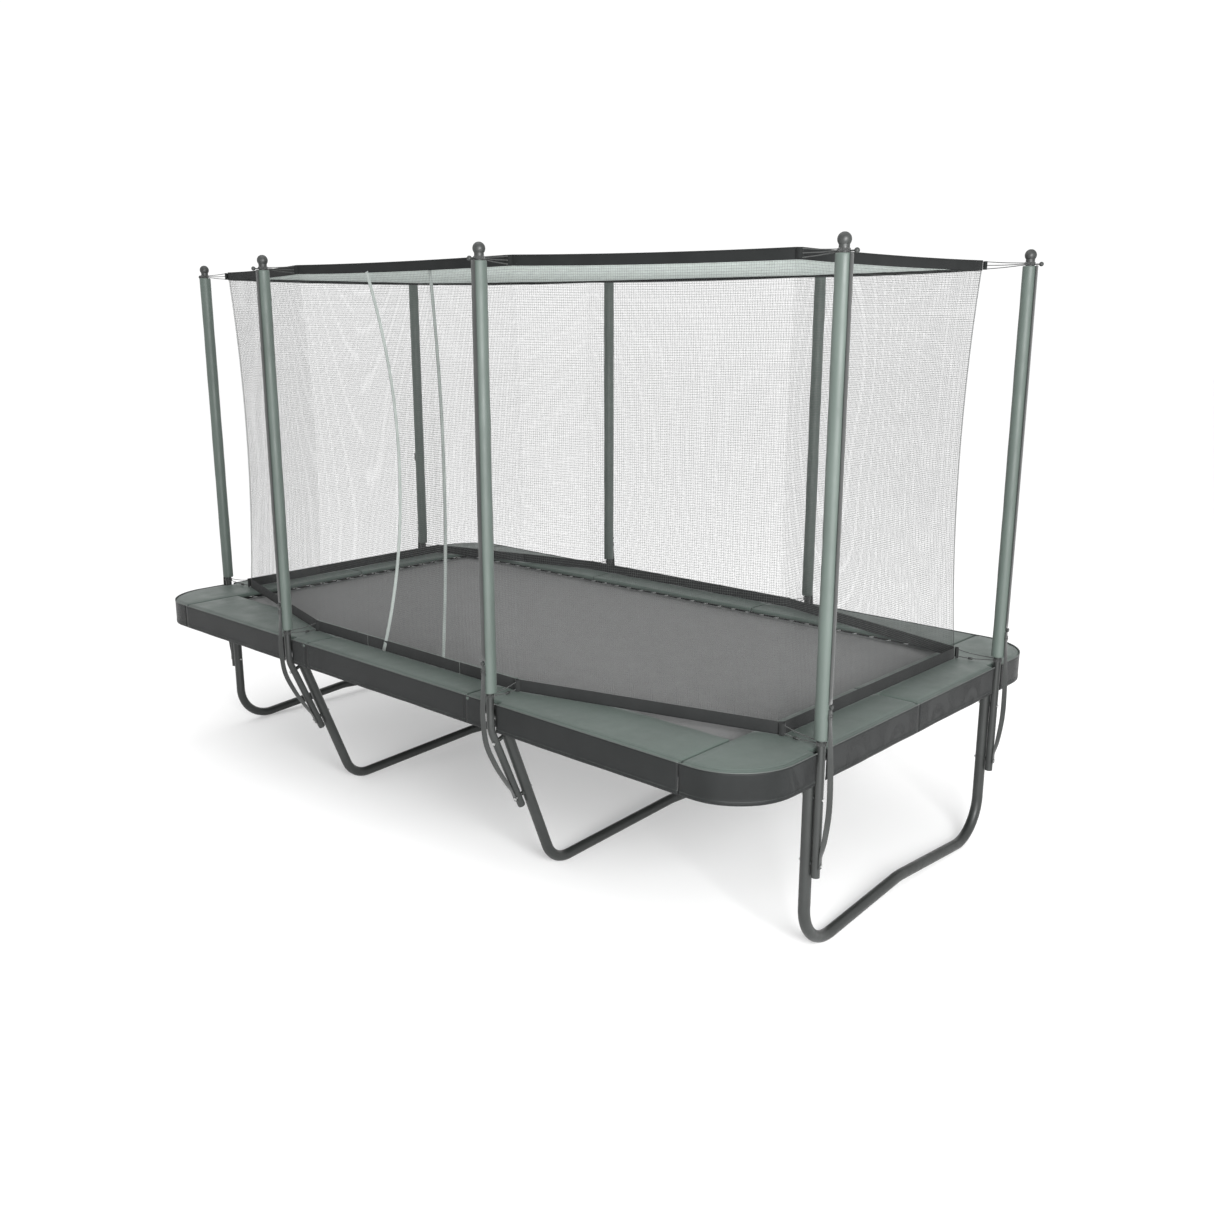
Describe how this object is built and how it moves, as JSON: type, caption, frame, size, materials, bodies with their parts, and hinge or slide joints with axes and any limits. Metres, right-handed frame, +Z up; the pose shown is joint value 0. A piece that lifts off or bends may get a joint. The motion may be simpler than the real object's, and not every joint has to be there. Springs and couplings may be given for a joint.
{
  "type": "trampoline",
  "caption": "Rectangular garden trampoline: sprung mat on a tubular frame with padded edge, bent tube legs and a net enclosure hung from sleeved poles, with an overlapping-flap door.",
  "frame": {"origin": "on the ground under the middle of the jumping mat", "axes": "+X along the long side, +Y across, from the door side to the back, +Z up"},
  "size_m": [5.348, 3.13, 3.3792],
  "materials": {
    "frame_steel": "satin powder coat",
    "leg_steel": "satin powder coat",
    "pole_steel": "satin powder coat",
    "zinc_steel": "zinc plated",
    "cap_plastic": "fine moulded texture",
    "sleeve_vinyl": "soft foam sleeve under a smooth vinyl skin",
    "strap_webbing": "woven webbing",
    "mat_weave": "tight plain weave",
    "pad_vinyl": "coated fabric, grey-green on top, charcoal skirt",
    "hem_fabric": "plain woven band",
    "net_mesh": "open knitted mesh",
    "trim_ribbon": "flat ribbon",
    "tie_cord": "braided cord"
  },
  "bodies": {
    "structure": {"frame_corner_back_left": "frame_steel", "frame_corner_back_right": "frame_steel", "frame_corner_front_left": "frame_steel", "frame_corner_front_right": "frame_steel", "frame_rail_back": "frame_steel", "frame_rail_front": "frame_steel", "frame_rail_left": "frame_steel", "frame_rail_right": "frame_steel", "leg_base_left": "leg_steel", "leg_base_right": "leg_steel", "leg_bolts": "zinc_steel", "leg_left_back": "leg_steel", "leg_left_front": "leg_steel", "leg_rail_left": "leg_steel", "leg_rail_right": "leg_steel", "leg_right_back": "leg_steel", "leg_right_front": "leg_steel", "leg_sockets": "frame_steel", "leg_upright_back_left": "leg_steel", "leg_upright_back_right": "leg_steel", "leg_upright_front_left": "leg_steel", "leg_upright_front_right": "leg_steel", "net_cords_bottom": "tie_cord", "net_cords_top": "tie_cord", "net_hem_bottom": "hem_fabric", "net_hem_top": "hem_fabric", "net_walls": "net_mesh", "pad_corner_back_left": "pad_vinyl", "pad_corner_back_right": "pad_vinyl", "pad_corner_front_left": "pad_vinyl", "pad_corner_front_right": "pad_vinyl", "pads_back": "pad_vinyl", "pads_front": "pad_vinyl", "pole_back_left": "pole_steel", "pole_back_right": "pole_steel", "pole_caps": "cap_plastic", "pole_front_left": "pole_steel", "pole_front_right": "pole_steel", "pole_left_back": "pole_steel", "pole_left_front": "pole_steel", "pole_right_back": "pole_steel", "pole_right_front": "pole_steel", "pole_straps": "strap_webbing", "sleeve_back_left": "sleeve_vinyl", "sleeve_back_right": "sleeve_vinyl", "sleeve_front_left": "sleeve_vinyl", "sleeve_front_right": "sleeve_vinyl", "sleeve_left_back": "sleeve_vinyl", "sleeve_left_front": "sleeve_vinyl", "sleeve_right_back": "sleeve_vinyl", "sleeve_right_front": "sleeve_vinyl", "springs": "zinc_steel", "strap_hooks": "cap_plastic", "tension_straps": "strap_webbing"},
    "mat": {"jumping_mat": "mat_weave", "v_rings": "zinc_steel"},
    "door_outer": {"door_flap_outer": "net_mesh", "door_trim_outer": "trim_ribbon"},
    "door_inner": {"door_flap_inner": "net_mesh", "door_trim_inner": "trim_ribbon"}
  },
  "joints": [
    {"name": "mat_bounce", "type": "slide", "parent": "structure", "child": "mat", "axis": [0, 0, 1], "range_m": [-0.4, 0], "stiffness_N_per_m": 6000, "springref_m": 0.05, "deforming": ["springs"]},
    {"name": "door_outer_swing", "type": "hinge", "parent": "structure", "child": "door_outer", "pos_m": [0.452, -1.28, 1.1], "axis": [0, 0, 1], "range_deg": [0, 75], "stiffness_Nm_per_rad": 3},
    {"name": "door_inner_swing", "type": "hinge", "parent": "structure", "child": "door_inner", "pos_m": [-0.402, -1.276, 1.1], "axis": [0, 0, 1], "range_deg": [0, 75], "stiffness_Nm_per_rad": 3}
  ]
}
